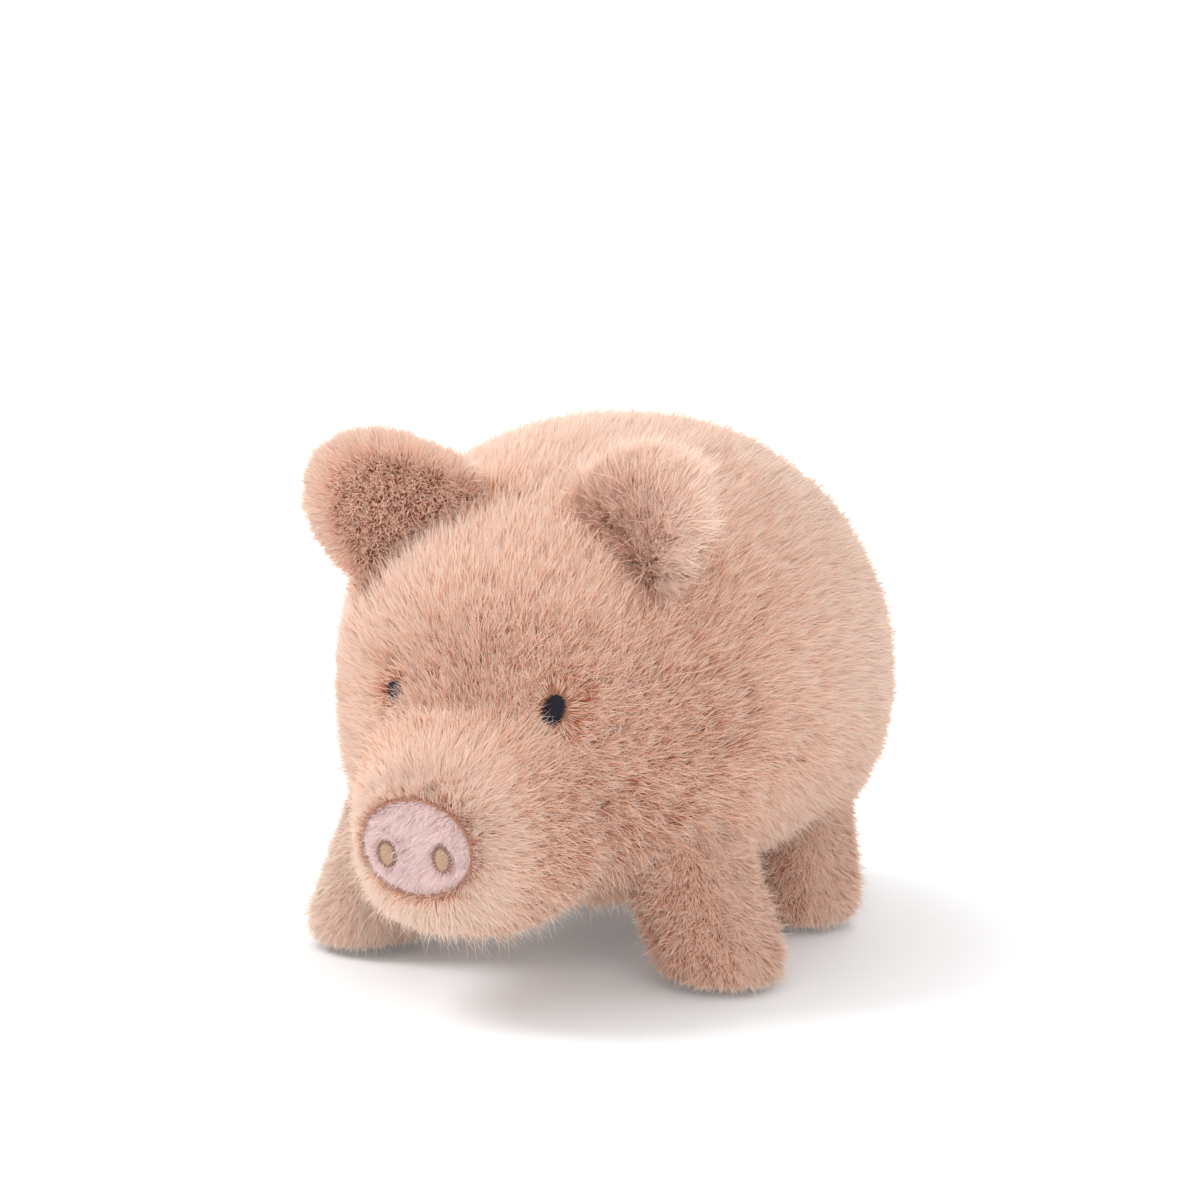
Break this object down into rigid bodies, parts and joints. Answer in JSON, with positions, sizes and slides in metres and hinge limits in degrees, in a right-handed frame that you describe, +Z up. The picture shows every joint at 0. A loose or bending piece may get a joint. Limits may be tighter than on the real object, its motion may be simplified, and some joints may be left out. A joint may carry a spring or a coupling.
{
  "type": "plush pig",
  "caption": "Standing plush pig with an egg-shaped body, stub legs, cupped ears, stitched eyes and an oval snout pad; legs, ears and tail flex at their seams.",
  "frame": {"origin": "the centre of the part's box, on the floor that the feet stand on", "axes": "+Z up, the pig looks along -Y, and its left side is on +X"},
  "size_m": [0.163, 0.2456, 0.1709],
  "materials": {
    "plush": "dusty rose pile, light tips",
    "ear_plush": "the same pile seen end on, deeper in tone",
    "pad_plush": "short pale pink pile",
    "tan_thread": "satin stitch, slight sheen",
    "navy_thread": "satin stitch, slight sheen",
    "fibre": "white polyester fibre, hidden"
  },
  "bodies": {
    "torso": {"body_side_left": "plush", "body_side_right": "plush", "belly_panel": "plush", "head_side_left": "plush", "head_side_right": "plush", "muzzle_cover": "plush", "snout_pad": "pad_plush", "nostril_left": "tan_thread", "nostril_right": "tan_thread", "eye_left": "navy_thread", "eye_right": "navy_thread", "torso_stuffing": "fibre"},
    "leg_front_left": {"leg_front_left_cover": "plush", "leg_front_left_stuffing": "fibre"},
    "leg_front_right": {"leg_front_right_cover": "plush", "leg_front_right_stuffing": "fibre"},
    "leg_rear_left": {"leg_rear_left_cover": "plush", "leg_rear_left_stuffing": "fibre"},
    "leg_rear_right": {"leg_rear_right_cover": "plush", "leg_rear_right_stuffing": "fibre"},
    "ear_left": {"ear_left_front": "ear_plush", "ear_left_back": "plush"},
    "ear_right": {"ear_right_front": "ear_plush", "ear_right_back": "plush"},
    "tail": {"tail": "plush"}
  },
  "joints": [
    {"name": "leg_front_left_flex", "type": "hinge", "parent": "torso", "child": "leg_front_left", "pos_m": [0.04374, -0.03111, 0.057], "axis": [1, 0, 0], "range_deg": [-12, 12], "stiffness_Nm_per_rad": 0.25},
    {"name": "leg_front_right_flex", "type": "hinge", "parent": "torso", "child": "leg_front_right", "pos_m": [-0.04374, -0.03111, 0.057], "axis": [1, 0, 0], "range_deg": [-12, 12], "stiffness_Nm_per_rad": 0.25},
    {"name": "leg_rear_left_flex", "type": "hinge", "parent": "torso", "child": "leg_rear_left", "pos_m": [0.04738, 0.05268, 0.057], "axis": [1, 0, 0], "range_deg": [-12, 12], "stiffness_Nm_per_rad": 0.25},
    {"name": "leg_rear_right_flex", "type": "hinge", "parent": "torso", "child": "leg_rear_right", "pos_m": [-0.04738, 0.05268, 0.057], "axis": [1, 0, 0], "range_deg": [-12, 12], "stiffness_Nm_per_rad": 0.25},
    {"name": "ear_left_flex", "type": "hinge", "parent": "torso", "child": "ear_left", "pos_m": [0.02891, -0.04585, 0.1343], "axis": [0.7495, -0.3408, -0.5676], "range_deg": [-15, 25], "stiffness_Nm_per_rad": 0.02},
    {"name": "ear_right_flex", "type": "hinge", "parent": "torso", "child": "ear_right", "pos_m": [-0.02891, -0.04585, 0.1343], "axis": [0.7495, 0.3408, 0.5676], "range_deg": [-15, 25], "stiffness_Nm_per_rad": 0.02},
    {"name": "tail_flex", "type": "hinge", "parent": "torso", "child": "tail", "pos_m": [0, 0.10841, 0.09965], "axis": [1, 0, 0], "range_deg": [-20, 20], "stiffness_Nm_per_rad": 0.01}
  ]
}
